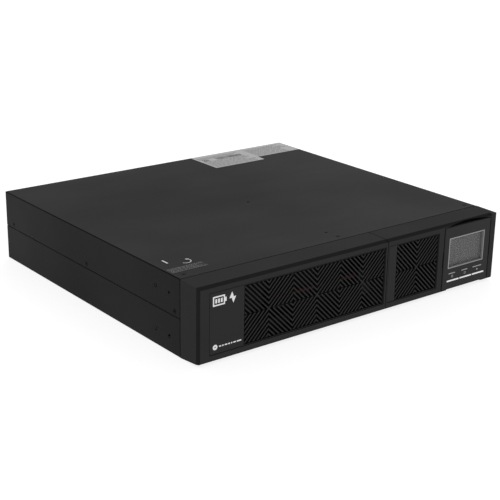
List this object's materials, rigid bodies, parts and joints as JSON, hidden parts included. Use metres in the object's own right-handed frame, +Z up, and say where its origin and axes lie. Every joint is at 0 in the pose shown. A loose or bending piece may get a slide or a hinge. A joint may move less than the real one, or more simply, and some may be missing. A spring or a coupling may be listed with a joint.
{
  "type": "uninterruptible power supply",
  "caption": "Flat rack or tower uninterruptible power supply: louvred battery cover, sliding battery drawer, square display module, rear outlets and fan.",
  "frame": {"origin": "centre of the footprint, on the surface the supply stands on", "axes": "+X right seen from the front, +Y to the rear, +Z up; the front faces -Y"},
  "size_m": [0.438, 0.4166, 0.0866],
  "materials": {
    "case_paint": "matte black powder coat",
    "bezel_plastic": "fine-grained black",
    "louvre_plastic": "fine-grained black",
    "display_plastic": "fine-grained black",
    "trim_plastic": "satin grey",
    "key_plastic": "satin pale grey",
    "window_pane": "clear",
    "lcd_glass": "grey, unlit",
    "circuit_board": "green solder mask",
    "zinc_steel": "zinc plated",
    "black_screws": "black zinc",
    "fin_aluminium": "mill finish",
    "battery_case": "smooth dark grey",
    "red_insulation": "red",
    "black_insulation": "black",
    "connector_grey": "grey",
    "blade_brass": "bright",
    "label_paper": "silver-grey film",
    "guide_print": "pale print on clear film",
    "capacitor_sleeve": "blue-black sleeve",
    "winding": "varnished winding",
    "ferrite": "grey",
    "relay_case": "black",
    "transistor_case": "black",
    "fan_plastic": "black",
    "guard_wire": "nickel plated",
    "socket_plastic": "black",
    "breaker_red": "black",
    "epo_green": "green",
    "port_shell": "tin plated"
  },
  "bodies": {
    "chassis": {"base_tray": "case_paint", "top_cover": "case_paint", "side_rail_left": "zinc_steel", "side_rail_right": "zinc_steel", "cover_screws": "black_screws", "front_bulkhead": "case_paint", "bay_wall": "zinc_steel", "rating_label": "label_paper", "spec_label": "label_paper", "guide_label": "guide_print", "front_bezel": "bezel_plastic", "bezel_louvre": "louvre_plastic", "battery_receptacle": "black_insulation", "main_board": "circuit_board", "heat_sinks": "fin_aluminium", "power_transistors": "transistor_case", "bulk_capacitors": "capacitor_sleeve", "inductors": "winding", "transformer": "ferrite", "relays": "relay_case", "control_board": "circuit_board", "rear_panel": "case_paint", "rear_screws": "black_screws", "fan_frame": "fan_plastic", "fan_guard": "guard_wire", "fan_screws": "black_screws", "outlet_strip_lower": "socket_plastic", "outlet_strip_upper": "socket_plastic", "mains_inlet": "socket_plastic", "circuit_breaker": "socket_plastic", "dc_socket": "connector_grey", "epo_terminal": "epo_green", "slot_cover": "case_paint", "usb_port": "port_shell", "serial_port": "port_shell"},
    "battery_cover": {"battery_cover": "bezel_plastic", "cover_louvre": "louvre_plastic"},
    "battery_drawer": {"battery_tray": "case_paint", "battery_block_1": "battery_case", "battery_block_2": "battery_case", "battery_block_3": "battery_case", "battery_block_4": "battery_case", "battery_terminals": "blade_brass", "battery_links": "black_insulation", "battery_lead_positive": "red_insulation", "battery_lead_negative": "black_insulation", "battery_plug": "black_insulation", "tray_thumbscrews": "black_screws", "tray_handle": "case_paint"},
    "display_module": {"display_housing": "display_plastic", "display_back": "display_plastic", "display_trim": "trim_plastic", "display_window": "window_pane", "lcd_panel": "lcd_glass", "display_board": "circuit_board"},
    "key_left": {"key_left": "key_plastic"},
    "key_middle": {"key_middle": "key_plastic"},
    "key_right": {"key_right": "key_plastic"},
    "fan_rotor": {"fan_rotor": "fan_plastic"},
    "breaker_button": {"breaker_button": "breaker_red"}
  },
  "joints": [
    {"name": "battery_slide", "type": "slide", "parent": "chassis", "child": "battery_drawer", "axis": [0, -1, 0], "range_m": [0, 0.32]},
    {"name": "cover_pull", "type": "slide", "parent": "chassis", "child": "battery_cover", "axis": [0, -1, 0], "range_m": [0, 0.361]},
    {"name": "display_pull", "type": "slide", "parent": "chassis", "child": "display_module", "axis": [0, -1, 0], "range_m": [0, 0.03]},
    {"name": "key_left_press", "type": "slide", "parent": "display_module", "child": "key_left", "axis": [0, 1, 0], "range_m": [0, 0.0005], "stiffness_N_per_m": 600, "springref_m": -0.0004},
    {"name": "key_middle_press", "type": "slide", "parent": "display_module", "child": "key_middle", "axis": [0, 1, 0], "range_m": [0, 0.0005], "stiffness_N_per_m": 600, "springref_m": -0.0004},
    {"name": "key_right_press", "type": "slide", "parent": "display_module", "child": "key_right", "axis": [0, 1, 0], "range_m": [0, 0.0005], "stiffness_N_per_m": 600, "springref_m": -0.0004},
    {"name": "fan_spin", "type": "hinge", "parent": "chassis", "child": "fan_rotor", "pos_m": [0.165, 0.1913, 0.04325], "axis": [0, 1, 0], "continuous": true},
    {"name": "breaker_reset", "type": "slide", "parent": "chassis", "child": "breaker_button", "axis": [0, 1, 0], "range_m": [0, 0.003]}
  ],
  "couplings": [
    {"joint": "cover_pull", "follows": "battery_slide", "ratio": 1.125}
  ]
}
